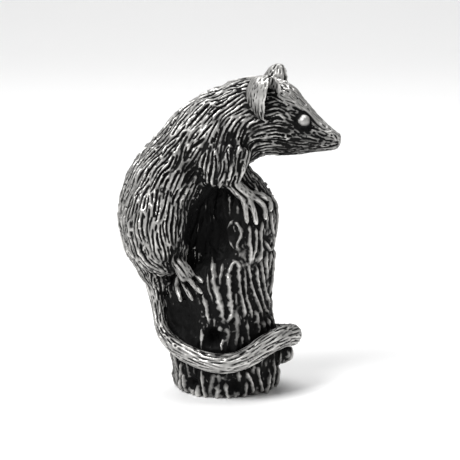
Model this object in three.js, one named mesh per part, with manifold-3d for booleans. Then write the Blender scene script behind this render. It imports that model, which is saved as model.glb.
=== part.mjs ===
// Pewter figurine: a dormouse climbing over a tree stump, with its tail wound round the stump's foot.
// Millimetres, +Z up, nose towards +X, near flank towards -Y, origin at the middle of the flat underside.
// It is one solid casting, so every form below is joined into one mesh.
import * as THREE from "three";
import { mergeVertices } from "three/addons/utils/BufferGeometryUtils.js";
import Module from "manifold-3d";

const wasm = await Module();
wasm.setup();

// Driving dimensions. The pose is drawn on a grid of sixtieths of the height.
const FIGURE_HEIGHT = 60;
const STUMP_RADIUS = 10;
const TAIL_RADIUS = 1.8;
const TAIL_SINK = 0.5;
const EYE_RADIUS = 1.15;
const EYE_SINK = 0.45;
const SOCKET_CLEARANCE = 0.3;
const FINGER_RADIUS = 0.52;
const TOE_RADIUS = 0.58;
const DIGIT_LIFT = 0.95;
const FUR_DEPTH = 0.45;
const HAUNCH_FUR_DEPTH = 0.6;
const BARK_DEPTH = 0.9;
const BURL_REACH = 2.6;
const GRID = FIGURE_HEIGHT / 60;

const GOLDEN = 0.618;
const EYE_ALONG = 0.755;
const EYE_RISE = 27;
const NEAR = -1;
const FAR = 1;
const spot = (x, y, z) => new THREE.Vector3(x, y, z).multiplyScalar(GRID);
const turn = THREE.MathUtils.degToRad;
const { clamp, lerp, smoothstep } = THREE.MathUtils;

// Turns a closed geometry into a solid that can be joined and cut.
function solid(geometry) {
  const bare = geometry.clone();
  bare.deleteAttribute("normal");
  bare.deleteAttribute("uv");
  const merged = mergeVertices(bare, 1e-4);
  return new wasm.Manifold(
    new wasm.Mesh({
      numProp: 3,
      vertProperties: new Float32Array(merged.attributes.position.array),
      triVerts: new Uint32Array(merged.index.array),
    }),
  );
}

// Locks of fur: every second column is a groove, and each lane's strokes start at a place of their own.
function strokes(depth, count, fade = () => 1) {
  return (column, along) => {
    if (column % 2 === 0) return 0;
    const phase = along * count + ((column * GOLDEN) % 1);
    return depth * fade(along) * (0.3 + 0.7 * Math.abs(Math.sin(Math.PI * phase)));
  };
}

// A skin over a spine. A row holds x, y, z of the spine, then its half width to the side and half depth.
class Skin {
  constructor(rows, { side = new THREE.Vector3(0, -1, 0), cap = 0.1 } = {}) {
    const curve = (points) => new THREE.CatmullRomCurve3(points, false, "catmullrom");
    this.spine = curve(rows.map(([x, y, z]) => spot(x, y, z)));
    this.girth = curve(rows.map(([, , , width, depth]) => spot(width, depth, 0)));
    this.side = side;
    this.cap = cap;
  }

  // The ends close as quarter circles over the cap's share of the length.
  roundness(along) {
    const toEnd = Math.min(along, 1 - along) / this.cap;
    return toEnd >= 1 ? 1 : Math.sqrt(Math.max(0, 1 - (1 - toEnd) ** 2));
  }

  point(along, angle, sunk = 0) {
    const tangent = this.spine.getTangent(along);
    const side = this.side.clone().addScaledVector(tangent, -this.side.dot(tangent)).normalize();
    const across = tangent.clone().cross(side);
    const girth = this.girth.getPoint(along);
    const round = this.roundness(along);
    return this.spine
      .getPoint(along)
      .addScaledVector(side, Math.cos(angle) * (girth.x - sunk) * round)
      .addScaledVector(across, Math.sin(angle) * (girth.y - sunk) * round);
  }

  solid({ sides, rings, carve = () => 0 }) {
    const geometry = new THREE.SphereGeometry(1, sides, rings);
    const { position, uv } = geometry.attributes;
    for (let i = 0; i < position.count; i++) {
      const along = clamp(1 - uv.getY(i), 0, 1);
      const column = Math.round(uv.getX(i) * sides) % sides;
      const angle = Math.PI - (column / sides) * 2 * Math.PI;
      const point = this.point(along, angle, carve(column, along));
      position.setXYZ(i, point.x, point.y, point.z);
    }
    return solid(geometry);
  }
}

// The stump's outline: height, middle x, half width and half depth, the last two as shares of its radius.
const STUMP_ROWS = [
  [0.0, 0.0, 0.92, 0.9],
  [0.6, 0.0, 0.97, 0.95],
  [1.6, 0.0, 1.0, 0.98],
  [4.0, 0.0, 1.02, 1.0],
  [6.5, -0.2, 1.04, 0.99],
  [9.0, -0.6, 1.04, 0.98],
  [12.0, -1.0, 1.02, 0.96],
  [15.0, -1.2, 1.0, 0.95],
  [18.0, -1.1, 1.0, 0.93],
  [21.0, -0.6, 0.97, 0.9],
  [23.5, 1.1, 0.81, 0.84],
  [26.0, 2.8, 0.67, 0.79],
  [29.0, 3.8, 0.6, 0.75],
  [32.0, 4.0, 0.59, 0.72],
  [35.0, 3.7, 0.56, 0.66],
  [37.5, 3.0, 0.48, 0.56],
  [39.5, 2.2, 0.36, 0.4],
];

const BURL_TOWARDS = -10;
const BURL_HEIGHT = 7.0;
const BURL_SPREAD = 2.2;

// Hollows in the bark: angle from +X, height, radius, depth.
const STUMP_HOLLOWS = [
  [-136, 14.5, 4.6, 1.8],
  [-97, 11.4, 2.0, 2.6],
  [-128, 2.2, 1.6, 1.6],
  [-80, 2.4, 1.5, 1.1],
  [-142, 28, 4.5, 1.6],
  [60, 20, 3.0, 1.4],
];

function stumpRow(height) {
  const last = STUMP_ROWS.length - 1;
  const next = clamp(STUMP_ROWS.findIndex((row) => row[0] >= height), 1, last);
  const [low, high] = [STUMP_ROWS[next - 1], STUMP_ROWS[next]];
  const share = clamp((height - low[0]) / (high[0] - low[0]), 0, 1);
  return low.map((value, i) => lerp(value, high[i], share));
}

// The burl under the bend of the tail swells the bark towards the nose's side.
function burl(angle, height) {
  const facing = Math.max(0, Math.cos(angle - turn(BURL_TOWARDS)));
  return BURL_REACH * facing ** 5 * Math.exp(-(((height - BURL_HEIGHT) / BURL_SPREAD) ** 2));
}

// A point of the stump's bark, raised above it by a lift in millimetres.
function onStump(angle, height, lift = 0) {
  const [, x, width, depth] = stumpRow(height);
  const raised = lift + burl(angle, height);
  return new THREE.Vector3(
    x * GRID + Math.cos(angle) * (width * STUMP_RADIUS + raised),
    Math.sin(angle) * (depth * STUMP_RADIUS + raised),
    height * GRID,
  );
}

// Bark splits into long plates: every second column is a furrow that fades and deepens on its way up.
function barkDepth(column, angle, height) {
  const furrow = column % 2 === 1;
  const run = Math.abs(Math.sin(height * 0.17 + column * 1.9));
  let depth = furrow ? BARK_DEPTH * (0.25 + 0.75 * Math.sqrt(run)) : BARK_DEPTH * 0.3 * run;
  for (const [towards, middle, radius, deep] of STUMP_HOLLOWS) {
    const turned = angle - turn(towards);
    const aside = Math.atan2(Math.sin(turned), Math.cos(turned)) * STUMP_RADIUS;
    const away = Math.hypot(aside, height - middle) / radius;
    if (away < 1) depth += deep * (1 - away * away);
  }
  return depth;
}

function stump() {
  const SIDES = 50;
  const SWAY = 0.045;
  const last = STUMP_ROWS.length - 1;
  const geometry = new THREE.CylinderGeometry(1, 1, 1, SIDES, last).rotateX(Math.PI / 2);
  const { position } = geometry.attributes;
  for (let i = 0; i < position.count; i++) {
    const [x, y, z] = [position.getX(i), position.getY(i), position.getZ(i)];
    const [height] = STUMP_ROWS[Math.round((z + 0.5) * last)];
    const column = Math.round((Math.atan2(x, -y) / (2 * Math.PI) + 1) * SIDES) % SIDES;
    const sway = SWAY * (Math.sin(height * 0.5) + 0.7 * Math.sin(height * 0.9 + column * 1.3));
    const angle = (column / SIDES) * 2 * Math.PI - Math.PI / 2 + sway;
    const edge = onStump(angle, height, -barkDepth(column, angle, height));
    if (Math.hypot(x, y) < 0.5) edge.set(stumpRow(height)[1] * GRID, 0, height * GRID);
    position.setXYZ(i, edge.x, edge.y, edge.z);
  }
  return solid(geometry);
}

// The trunk: from the root of the tail up over the back and the neck to the nose.
const trunk = new Skin(
  [
    [-11.3, -0.3, 17.2, 2.4, 2.4],
    [-12.2, -0.2, 22.4, 4.4, 4.0],
    [-12.6, 0, 26.3, 6.4, 5.9],
    [-12.7, 0, 31.8, 7.4, 7.0],
    [-11.7, 0, 36.3, 7.5, 7.2],
    [-9.7, 0, 39.3, 7.2, 7.4],
    [-6.4, 0, 42.5, 6.9, 7.7],
    [-2.4, 0, 46.4, 6.4, 8.0],
    [1.5, -0.2, 49.1, 5.8, 7.5],
    [5.2, -0.4, 50.6, 5.6, 7.3],
    [8.7, -0.7, 50.4, 5.7, 7.2],
    [11.6, -1.2, 49.2, 5.2, 5.9],
    [14.2, -1.8, 48.2, 4.2, 4.6],
    [16.7, -2.3, 47.4, 3.0, 3.2],
    [18.8, -2.8, 46.8, 2.1, 2.2],
    [20.2, -3.1, 46.6, 1.5, 1.6],
    [21.1, -3.3, 46.5, 1.2, 1.3],
  ],
  { cap: 0.06 },
);

const breast = new Skin([
  [0.8, 0, 47.5, 4.6, 2.6],
  [0.9, 0, 43.0, 4.8, 2.6],
  [1.8, 0, 39.5, 5.2, 3.4],
  [3.5, 0, 36.2, 5.4, 4.4],
  [4.2, 0, 33.0, 4.8, 4.8],
]);

const belly = new Skin([
  [-3.5, 0.6, 42.0, 4.4, 4.4],
  [-3.8, 1.0, 35.0, 3.4, 5.0],
  [-4.2, 1.0, 29.0, 3.4, 5.2],
  [-4.6, 0.6, 23.0, 4.4, 4.4],
  [-4.6, 0.6, 19.0, 3.6, 3.2],
]);

// The hind leg of one side, drawn for the near side. The far side is its mirror image.
function haunch(side) {
  return new Skin([
    [-10.9, side * 2.2, 40.4, 2.8, 3.6],
    [-12.2, side * 3.9, 35.8, 4.3, 5.3],
    [-12.9, side * 4.6, 31.0, 4.7, 5.9],
    [-11.8, side * 4.7, 27.6, 4.4, 5.3],
    [-10.4, side * 5.0, 25.2, 3.6, 4.2],
    [-9.5, side * 5.6, 23.9, 2.4, 2.6],
    [-8.9, side * 6.2, 23.0, 1.4, 1.6],
  ]);
}

function hindFoot(side) {
  return new Skin([
    [-9.6, side * 5.2, 26.2, 1.2, 1.4],
    [-8.5, side * 6.6, 24.8, 1.2, 1.3],
    [-7.6, side * 7.0, 23.6, 1.2, 1.5],
    [-6.9, side * 7.0, 22.6, 1.2, 1.6],
    [-6.4, side * 6.9, 21.8, 1.0, 1.4],
  ]);
}

// The shoulder's fur hangs over the forearm like a sleeve.
function shoulder(side) {
  return new Skin(
    [
      [1.6, side * 2.2, 51.0, 2.2, 4.4],
      [0.2, side * 3.2, 47.6, 2.8, 5.2],
      [-0.9, side * 4.3, 44.2, 2.8, 5.4],
      [-1.3, side * 4.8, 41.4, 2.6, 5.0],
      [-1.0, side * 4.8, 39.0, 2.0, 3.8],
    ],
    { cap: 0.22 },
  );
}

// The forearm runs to the back of the hand.
function forearm(side) {
  return new Skin([
    [-0.4, side * 4.8, 41.2, 1.8, 2.0],
    [1.3, side * 5.6, 39.4, 1.3, 1.4],
    [2.7, side * 6.0, 38.0, 1.1, 1.4],
    [3.8, side * 6.0, 37.0, 1.0, 1.6],
    [4.9, side * 5.8, 36.1, 0.8, 1.8],
  ]);
}

// A digit hugs the bark from stop to stop, reaches down into its furrows, and tapers to its claw.
function digit(side, stops, radius) {
  const rows = stops.map(([angle, height], i) => {
    const lift = radius * DIGIT_LIFT - BARK_DEPTH / 2;
    const { x, y, z } = onStump(side * turn(angle), height, lift).divideScalar(GRID);
    const size = (radius * (1.15 - (0.35 * i) / (stops.length - 1))) / GRID;
    return [x, y, z, size, size + BARK_DEPTH / 2 / GRID];
  });
  const round = side * turn(stops[1][0]);
  const along = new THREE.Vector3(-Math.sin(round), Math.cos(round), 0);
  return new Skin(rows, { side: along, cap: 0.2 }).solid({ sides: 6, rings: 4 });
}

// The stops of each finger and toe on the bark: angle from +X and height, on either side.
const FINGERS = [
  [[92, 37.0], [90, 35.3], [89, 31.9]],
  [[79, 36.6], [75, 34.4], [72, 31.6]],
  [[66, 36.6], [55, 34.7], [54, 32.5]],
  [[55, 37.0], [39, 35.2], [39, 33.6]],
];

const TOES = [
  [[134, 23.2], [127, 22.4], [112, 21.4]],
  [[134, 22.0], [120, 20.8], [108, 19.4]],
  [[141, 22.4], [134, 20.8], [117, 17.9]],
  [[148, 21.8], [145, 20.2], [133, 17.4]],
];

// The tail's wind round the stump: angle from +X, height, share of its radius, lift off the bark.
const TAIL_WIND = [
  [180, 17.4, 1.0, 0],
  [184, 14.6, 0.8, 0],
  [196, 12.2, 0.76, 0],
  [211, 10.4, 0.8, 0],
  [231, 8.8, 0.88, 0],
  [254, 7.4, 0.94, 0],
  [274, 7.1, 0.98, 0],
  [293, 8.1, 1.0, 0],
  [312, 9.7, 1.04, 0.2],
  [333, 10.6, 1.1, 0.6],
  [352, 10.2, 1.12, 1.1],
  [372, 9.4, 1.04, 0.8],
  [394, 9.0, 0.86, 0.2],
  [414, 8.8, 0.6, 0],
];

// The tail lies on the bark and reaches down into its furrows, as the digits do.
function tail() {
  const rows = TAIL_WIND.map(([angle, height, share, lift]) => {
    const radius = TAIL_RADIUS * share;
    const raised = radius - TAIL_SINK + lift - BARK_DEPTH / 2;
    const { x, y, z } = onStump(turn(angle), height, raised).divideScalar(GRID);
    return [x, y, z, radius / GRID, (radius + BARK_DEPTH / 2) / GRID];
  });
  rows.unshift([-12.5, -0.3, 23.6, 3.4, 3.4], [-12.6, -0.3, 20.4, 2.4, 2.4]);
  const skin = new Skin(rows, { side: new THREE.Vector3(0.3, 0.3, 1).normalize(), cap: 0.04 });
  return skin.solid({ sides: 8, rings: 34, carve: strokes(FUR_DEPTH * 0.5, 9) });
}

// Each ear from its root to its tip. The far one stands forward and higher, as the head is turned.
const NEAR_EAR = [
  [7.0, -4.3, 50.6, 1.2, 1.9],
  [6.9, -5.2, 52.8, 2.1, 3.1],
  [7.0, -5.7, 55.0, 2.4, 3.3],
  [7.4, -5.9, 57.0, 2.1, 2.9],
  [7.8, -5.8, 58.9, 1.0, 1.5],
];
const FAR_EAR = [
  [9.4, 2.9, 51.8, 1.2, 2.0],
  [9.3, 3.8, 54.0, 2.0, 3.1],
  [9.4, 4.4, 56.2, 2.0, 3.0],
  [9.9, 4.6, 58.3, 1.4, 2.0],
  [10.5, 4.6, 60.0, 0.6, 0.8],
];
const EAR_OPENING = 2.1;

// An ear is a rounded shell, hollowed by a smaller one that opens it forwards and a little to the near side.
function ear(rows) {
  const hollow = rows.slice(1).map(([x, y, z, width, depth]) => {
    return [x + EAR_OPENING, y - EAR_OPENING / 3, z, width * 0.74, depth * 0.8];
  });
  const outer = new Skin(rows, { cap: 0.2 }).solid({ sides: 10, rings: 8 });
  return outer.subtract(new Skin(hollow, { cap: 0.3 }).solid({ sides: 8, rings: 6 }));
}

// A ball sunk in the side of the head. The eye sits in a socket whose ball stands further out.
function eyeBall(side, radius, sunk) {
  const angle = turn(side === NEAR ? -EYE_RISE : 180 + EYE_RISE);
  const seat = trunk.point(EYE_ALONG, angle, sunk);
  return solid(new THREE.SphereGeometry(radius, 10, 7).translate(seat.x, seat.y, seat.z));
}

function figure() {
  const fur = (count) => strokes(FUR_DEPTH, count);
  const thinning = (along) => 1 - 0.75 * smoothstep(along, 0.5, 0.85);
  let made = trunk.solid({ sides: 40, rings: 30, carve: strokes(FUR_DEPTH, 11, thinning) });
  made = made.add(breast.solid({ sides: 16, rings: 8, carve: fur(2.5) }));
  made = made.add(belly.solid({ sides: 12, rings: 7 }));
  made = made.add(stump());
  for (const side of [NEAR, FAR]) {
    made = made.add(haunch(side).solid({ sides: 18, rings: 10, carve: strokes(HAUNCH_FUR_DEPTH, 3.5) }));
    made = made.add(hindFoot(side).solid({ sides: 8, rings: 6 }));
    made = made.add(shoulder(side).solid({ sides: 16, rings: 8, carve: fur(1.5) }));
    made = made.add(forearm(side).solid({ sides: 8, rings: 6 }));
    for (const stops of FINGERS) made = made.add(digit(side, stops, FINGER_RADIUS));
    for (const stops of TOES) made = made.add(digit(side, stops, TOE_RADIUS));
    made = made.subtract(eyeBall(side, EYE_RADIUS + SOCKET_CLEARANCE, EYE_SINK - 2 * SOCKET_CLEARANCE));
    made = made.add(eyeBall(side, EYE_RADIUS, EYE_SINK));
  }
  for (const rows of [NEAR_EAR, FAR_EAR]) made = made.add(ear(rows));
  made = made.add(tail());
  // The casting is solid metal, so only its outer skin is kept and sealed pockets are filled.
  const [outside] = made.simplify(0.03).decompose().sort((a, b) => b.volume() - a.volume());
  return outside;
}

function casting(name, made) {
  const { numProp, numVert, vertProperties, triVerts } = made.getMesh();
  const positions = new Float32Array(numVert * 3);
  for (let i = 0; i < numVert; i++) {
    positions.set(vertProperties.subarray(i * numProp, i * numProp + 3), i * 3);
  }
  const geometry = new THREE.BufferGeometry();
  geometry.setAttribute("position", new THREE.BufferAttribute(positions, 3));
  geometry.setIndex(new THREE.BufferAttribute(triVerts, 1));
  geometry.computeVertexNormals();
  const pewter = new THREE.MeshStandardMaterial({ color: 0x8d8b88, roughness: 0.42, metalness: 1 });
  const mesh = new THREE.Mesh(geometry, pewter);
  mesh.name = name;
  return mesh;
}

const root = new THREE.Group();
root.add(casting("dormouse_on_stump", figure()));

export default root;
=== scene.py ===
# %% [markdown]
# # A pewter dormouse climbing over a stump
# The real figurine is one small casting of pewter, 60 mm tall. A maker models it in wax, scratches the fur and
# the bark into the wax with a pointed tool, casts it, stains it nearly black, and then buffs the stain off the
# high spots. This lesson follows the same order: rough forms, one skin over them, tooled strokes, dark patina.

import math
import random

import bmesh
import bpy
import numpy as np
from mathutils import Matrix, Vector, noise
from mathutils.bvhtree import BVHTree
from mathutils.kdtree import KDTree


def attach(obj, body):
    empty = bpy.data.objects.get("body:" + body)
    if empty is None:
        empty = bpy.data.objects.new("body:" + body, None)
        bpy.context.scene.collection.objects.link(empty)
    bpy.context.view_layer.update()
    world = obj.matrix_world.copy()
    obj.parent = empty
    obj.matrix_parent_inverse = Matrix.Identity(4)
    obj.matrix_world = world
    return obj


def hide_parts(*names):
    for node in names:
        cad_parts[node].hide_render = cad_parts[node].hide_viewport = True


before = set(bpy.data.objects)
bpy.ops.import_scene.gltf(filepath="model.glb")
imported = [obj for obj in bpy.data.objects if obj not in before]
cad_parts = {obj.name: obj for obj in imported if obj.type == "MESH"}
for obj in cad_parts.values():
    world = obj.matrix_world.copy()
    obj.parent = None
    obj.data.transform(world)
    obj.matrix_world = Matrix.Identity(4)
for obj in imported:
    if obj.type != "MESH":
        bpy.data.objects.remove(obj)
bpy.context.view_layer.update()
MM = 0.001
NEAR = -1
FAR = 1
SEED = 3
rng = np.random.default_rng(SEED)
random.seed(SEED)

# %% [markdown]
# ## The camera
# The photograph looks at the near flank from ten degrees above, from about a third of a metre. A camera could be
# aimed by hand, but working out its lens from the width that it sees keeps the scale the same in every render.

# %% Camera
VIEW_DISTANCE = 330.0
VIEW_WIDTH = 84.87
VIEW_ELEVATION = math.radians(10)
SENSOR_WIDTH = 36.0
MIDDLE_OF_VIEW = Vector((0.92, 0.0, 30.0))
LOWERED = 0.37
towards_camera = Vector((0, -math.cos(VIEW_ELEVATION), math.sin(VIEW_ELEVATION)))
up_in_view = Vector((0, math.sin(VIEW_ELEVATION), math.cos(VIEW_ELEVATION)))
aim = MIDDLE_OF_VIEW - LOWERED * up_in_view

camera_data = bpy.data.cameras.new("photo_camera")
camera_data.sensor_width = SENSOR_WIDTH
camera_data.lens = SENSOR_WIDTH * VIEW_DISTANCE / VIEW_WIDTH
camera_data.clip_start = 0.01
camera_data.clip_end = 20.0
camera = bpy.data.objects.new("photo_camera", camera_data)
bpy.context.scene.collection.objects.link(camera)
camera.location = (aim + VIEW_DISTANCE * towards_camera) * MM
camera.rotation_euler = (math.pi / 2 - VIEW_ELEVATION, 0, 0)
bpy.context.scene.camera = camera
print("lens", round(camera_data.lens, 1), "mm")

# %% [markdown]
# ## Rough forms
# Wax animals start as rolled sausages pressed together. Here each sausage is a sphere from bmesh whose rings are
# moved along a spine. A spine is a list of rows: x, y and z of its place, then how wide and how deep the form is
# there. A smooth curve through the rows needs fewer of them than straight steps would. All sizes are in
# millimetres, and they follow the ones of the CAD solid, so the outline stays the same.

# %% Smooth values between rows
def between_rows(rows, along):
    """Smooth values between the rows, at shares of the whole length."""
    rows = np.array(rows, float)
    padded = np.vstack([2 * rows[0] - rows[1], rows, 2 * rows[-1] - rows[-2]])
    place = np.clip(along, 0, 1) * (len(rows) - 1)
    first = np.minimum(place.astype(int), len(rows) - 2)
    t = (place - first)[:, None]
    a, b, c, d = (padded[first + step] for step in range(4))
    return 0.5 * (2 * b + (c - a) * t + (2 * a - 5 * b + 4 * c - d) * t**2 + (3 * b - a - 3 * c + d) * t**3)


def unit(vectors):
    """The vectors, each made one long."""
    length = np.linalg.norm(vectors, axis=-1, keepdims=True)
    return vectors / np.maximum(length, 1e-9)


print("halfway from 0 to 1:", between_rows([(0,), (1,)], np.array([0.5]))[0, 0])

# %% Kinds of surface, and the wax that takes up the forms
# Each point of the wax remembers its kind, and the way that its fur or grain runs.
FUR, FACE, BARK, TAIL, SKIN, EAR, EYE = range(7)
KINDS = 7
wax = bmesh.new()
wax_flow = wax.verts.layers.float_vector.new("flow")
wax_kind = wax.verts.layers.float.new("kind")
print("layers", wax.verts.layers.float_vector.keys(), wax.verts.layers.float.keys())

# %% A ball drawn out along a spine
SHORT_WAY = 0.004


def dished(angle, dish, opening):
    """A circle whose front is pushed in, as in an ear: how far out it is sideways and across at each angle."""
    turned = (angle - math.pi / 2) / opening
    inside = np.abs(turned) < 1
    out_side = np.where(inside, -math.sin(opening) * turned, np.cos(angle))
    out_across = np.where(inside, math.cos(opening) - dish * (1 - turned**2), np.sin(angle))
    return out_side, out_across


def drawn_out(on_ball, rows, side, cap, dish, opening, level):
    """Where the points of a ball lie once it is drawn out along a spine, and which way the spine runs there."""
    along = np.arccos(np.clip(on_ball[:, 2], -1, 1)) / np.pi
    angle = np.arctan2(on_ball[:, 1], on_ball[:, 0])
    values = between_rows(rows, along)
    onwards = between_rows(rows, along + SHORT_WAY)
    backwards = between_rows(rows, along - SHORT_WAY)
    tangent = unit(onwards[:, :3] - backwards[:, :3])
    square = np.tile((0.0, 0.0, 1.0), (len(along), 1)) if level else tangent
    sideways = unit(np.array(side, float) - square * (square @ np.array(side, float))[:, None])
    across = np.cross(square, sideways)
    to_end = np.minimum(along, 1 - along) / cap
    closing = np.where(to_end >= 1, 1, np.sqrt(np.maximum(0, 1 - (1 - to_end) ** 2)))
    out_side, out_across = np.cos(angle), np.sin(angle)
    if dish:
        out_side, out_across = dished(angle, dish, math.radians(opening))
    points = (
        values[:, :3]
        + sideways * (out_side * values[:, 3] * closing)[:, None]
        + across * (out_across * values[:, 4] * closing)[:, None]
    )
    return points, tangent


# %% Add a form to the wax
def add_form(rows, kind, side=(0, -1, 0), cap=0.1, around=28, rings=44, dish=0.0, opening=46,
             backwards=False, level=False):
    """Adds a sphere drawn out along a spine.

    The widths lie towards side. Each end is rounded off over a share of the length, cap. A dish hollows the front
    over an opening in degrees. The fur runs along the rows, or backwards. Level keeps the rings horizontal.
    """
    ball = bmesh.new()
    bmesh.ops.create_uvsphere(ball, u_segments=around, v_segments=rings, radius=1)
    ball_flow = ball.verts.layers.float_vector.new("flow")
    ball_kind = ball.verts.layers.float.new("kind")
    on_ball = np.array([v.co for v in ball.verts])
    points, tangent = drawn_out(on_ball, rows, side, cap, dish, opening, level)
    for vert, point, run in zip(ball.verts, points, -tangent if backwards else tangent):
        vert.co = point
        vert[ball_flow] = run
        vert[ball_kind] = kind
    mesh = bpy.data.meshes.new("form")
    ball.to_mesh(mesh)
    ball.free()
    wax.from_mesh(mesh)
    bpy.data.meshes.remove(mesh)


# %% [markdown]
# ## The trunk, the breast and the belly
# The back is one long bow from the root of the tail to the nose, so it is one spine. The breast and the belly are
# shorter forms under it that close the gap to the stump. Fur runs from the nose backwards and down.

# %% Trunk, breast and belly
TRUNK = [
    (-11.3, -0.3, 17.2, 2.4, 2.4),
    (-12.2, -0.2, 22.4, 4.4, 4.0),
    (-12.6, 0, 26.3, 6.4, 5.9),
    (-12.7, 0, 31.8, 7.4, 7.0),
    (-11.7, 0, 36.3, 7.5, 7.2),
    (-9.7, 0, 39.3, 7.2, 7.4),
    (-6.4, 0, 42.5, 6.9, 7.7),
    (-2.4, 0, 46.4, 6.4, 8.0),
    (1.5, -0.2, 49.1, 5.8, 7.5),
    (5.2, -0.4, 50.6, 5.6, 7.3),
    (8.7, -0.7, 50.4, 5.7, 7.2),
    (11.6, -1.2, 49.2, 5.2, 5.9),
    (14.2, -1.8, 48.2, 4.2, 4.6),
    (16.7, -2.3, 47.4, 3.0, 3.2),
    (18.8, -2.8, 46.8, 2.1, 2.2),
    (20.2, -3.1, 46.5, 1.5, 1.6),
    (21.0, -3.2, 46.3, 1.1, 1.3),
]
BREAST = [(0.8, 0, 47.5, 4.6, 2.6), (0.9, 0, 43.0, 4.8, 2.6), (1.8, 0, 39.5, 5.2, 3.4), (3.5, 0, 36.2, 5.4, 4.4),
          (4.2, 0, 33.0, 4.8, 4.8)]
BELLY = [(-3.5, 0.6, 42.0, 4.4, 4.4), (-3.8, 1.0, 35.0, 3.4, 5.0), (-4.2, 1.0, 29.0, 3.4, 5.2),
         (-4.6, 0.6, 23.0, 4.4, 4.4), (-4.6, 0.6, 19.0, 3.6, 3.2)]
add_form(TRUNK, FUR, cap=0.06, around=64, rings=120, backwards=True)
add_form(BREAST, FUR)
add_form(BELLY, FUR)
print("trunk, breast and belly:", len(wax.verts), "points")

# %% [markdown]
# ## Legs and arms
# Each limb tapers from a broad muscle to the wrist or ankle. The far side is drawn from the same rows as the near
# one, mirrored, since a symmetrical animal costs nothing extra to make and looks right from behind.

# %% Haunches, feet, shoulders and forearms
HAUNCH = [(-10.9, 2.2, 40.4, 2.8, 3.6), (-12.2, 3.9, 35.8, 4.3, 5.3), (-12.9, 4.6, 31.0, 4.7, 5.9),
          (-11.8, 4.7, 27.6, 4.4, 5.3), (-10.4, 5.0, 25.2, 3.6, 4.2), (-9.5, 5.6, 23.9, 2.4, 2.6),
          (-8.9, 6.2, 23.0, 1.4, 1.6)]
HIND_FOOT = [(-9.6, 5.2, 26.2, 1.1, 1.3), (-8.5, 6.7, 24.8, 1.1, 1.2), (-7.6, 7.3, 23.6, 1.0, 1.4),
             (-6.9, 7.4, 22.6, 0.8, 1.5), (-6.4, 7.5, 21.8, 0.5, 1.3)]
UPPER_ARM = [(1.6, 2.2, 51.0, 2.2, 4.4), (0.2, 3.2, 47.6, 2.8, 5.2), (-0.9, 4.3, 44.2, 2.8, 5.4),
             (-1.3, 4.8, 41.4, 2.6, 5.0), (-1.0, 4.8, 39.0, 2.0, 3.8)]
FOREARM = [(-0.4, 4.8, 41.2, 1.8, 2.0), (1.3, 5.6, 39.4, 1.3, 1.4), (2.7, 6.0, 38.0, 1.0, 1.4),
           (3.7, 6.0, 37.1, 0.8, 1.4), (4.4, 6.0, 36.5, 0.6, 1.5), (4.9, 5.9, 36.0, 0.3, 1.2)]


def both_sides(rows, kind, **settings):
    """Adds a form drawn for the near side, and its mirror image. Rows give y as a distance from the middle."""
    for side in (NEAR, FAR):
        add_form([(x, side * y, *rest) for x, y, *rest in rows], kind, **settings)


both_sides(HAUNCH, FUR, around=40)
both_sides(HIND_FOOT, SKIN)
both_sides(UPPER_ARM, FUR, cap=0.22, around=40)
both_sides(FOREARM, SKIN)
print("with the limbs:", len(wax.verts), "points")

# %% [markdown]
# ## Locks of the shoulder
# The fur of the shoulder ends in pointed locks that hang over the arm and the dark hollow behind it. Strokes alone
# can't make such a ragged edge, so each lock is a small drop of wax of its own.

# %% Shoulder locks
LOCK_WIDTHS = (1.0, 0.95, 0.35)
LOCK_DEPTH = 1.15
SHOULDER_LOCKS = [
    [(-2.0, 5.8, 46.6), (-3.1, 6.7, 42.4), (-3.5, 6.2, 38.9)],
    [(-0.4, 6.1, 46.6), (-1.7, 7.0, 42.2), (-2.2, 6.5, 38.4)],
    [(1.0, 6.2, 46.4), (-0.3, 7.3, 42.0), (-0.9, 6.8, 38.2)],
    [(2.4, 6.0, 46.0), (1.2, 7.2, 42.0), (0.5, 6.9, 38.6)],
    [(3.8, 5.5, 45.6), (2.6, 6.8, 42.0), (2.0, 6.7, 39.3)],
]
for lock in SHOULDER_LOCKS:
    rows = [(*stop, width, width * LOCK_DEPTH) for stop, width in zip(lock, LOCK_WIDTHS)]
    both_sides(rows, FUR, around=16, rings=24)
print("with the locks:", len(wax.verts), "points")

# %% [markdown]
# ## The stump
# The stump is a flared trunk of wood that narrows where the animal hugs it, with a burl low on its front. It is a
# vertical spine here, so that any place on its bark can be given as an angle and a height. The form is made a
# little thinner than the stump, by the depth of the valleys, because the ridges of the bark are added later.

# %% Stump
STUMP_RADIUS = 10.0
# Height, how far the middle lies forwards, and half the width and depth as shares of the radius.
STUMP_ROWS = [
    (0.0, 0.0, 0.92, 0.9), (0.6, 0.0, 0.97, 0.95), (1.6, 0.0, 1.0, 0.98), (4.0, 0.0, 1.02, 1.0),
    (6.5, -0.2, 1.04, 0.99), (9.0, -0.6, 1.04, 0.98), (12.0, -1.0, 1.02, 0.96), (15.0, -1.2, 1.0, 0.95),
    (18.0, -1.1, 1.0, 0.93), (21.0, -0.6, 0.97, 0.9), (23.5, 1.1, 0.81, 0.84), (26.0, 2.8, 0.67, 0.79),
    (29.0, 3.8, 0.6, 0.75), (32.0, 4.0, 0.59, 0.72), (35.0, 3.7, 0.56, 0.66), (37.5, 3.0, 0.48, 0.56),
    (39.5, 2.2, 0.36, 0.4),
]
VALLEY = 0.55
BURL = [(6.5, -1.0, 6.2, 2.0, 2.4), (9.2, -1.6, 6.6, 1.9, 2.2), (11.0, -2.0, 7.2, 1.4, 1.6),
        (12.0, -2.2, 7.6, 0.9, 1.0)]
stump_heights = [row[0] for row in STUMP_ROWS]


def stump_at(height):
    """The middle of the stump, its half width and its half depth at a height."""
    middle, width, depth = (np.interp(height, stump_heights, [row[k] for row in STUMP_ROWS]) for k in (1, 2, 3))
    return middle, width * STUMP_RADIUS, depth * STUMP_RADIUS


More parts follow.
